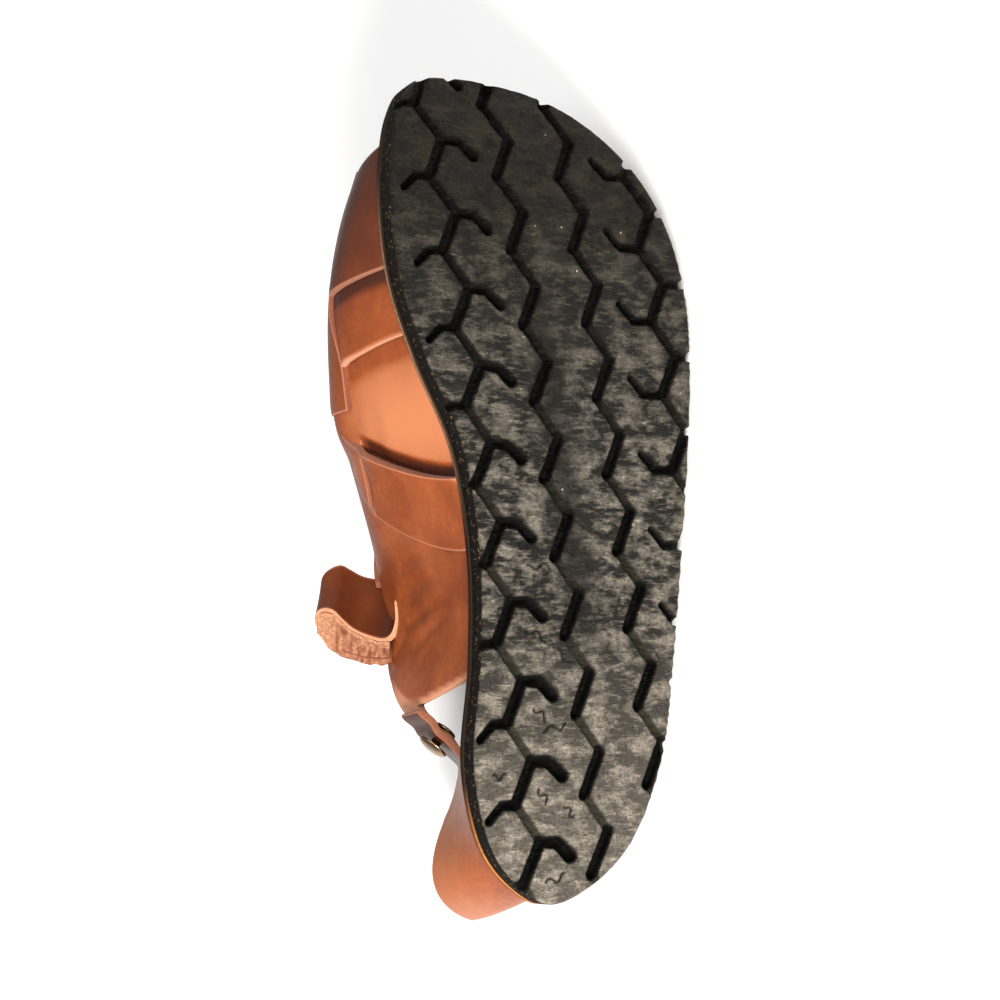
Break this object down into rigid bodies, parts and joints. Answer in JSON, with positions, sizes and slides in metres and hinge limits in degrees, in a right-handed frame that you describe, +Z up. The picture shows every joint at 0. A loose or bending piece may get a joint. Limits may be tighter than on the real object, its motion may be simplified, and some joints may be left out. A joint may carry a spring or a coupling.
{
  "type": "fisherman sandal",
  "caption": "Left leather fisherman sandal with woven straps over the forefoot, an open toe, a heel counter with riveted wings and a tyre-tread rubber sole, lying on its outer side.",
  "frame": {"origin": "middle of the bounding box, on the floor", "axes": "+X from heel to toe, +Z up, the tread facing -Y and a little up, the inner side of the shoe on top"},
  "size_m": [0.283, 0.1242, 0.1132],
  "materials": {
    "rubber": "matt black tyre rubber, worn and dusty",
    "midsole_leather": "raw pale leather edge",
    "insole_leather": "smooth tan leather",
    "upper_leather": "waxed tan leather with pale cut edges",
    "metal": "dark antique metal"
  },
  "bodies": {
    "root": {"outsole": "rubber", "midsole": "midsole_leather", "insole": "insole_leather", "upper": "upper_leather", "heel_rivet_medial": "metal", "heel_rivet_lateral": "metal"}
  },
  "joints": []
}
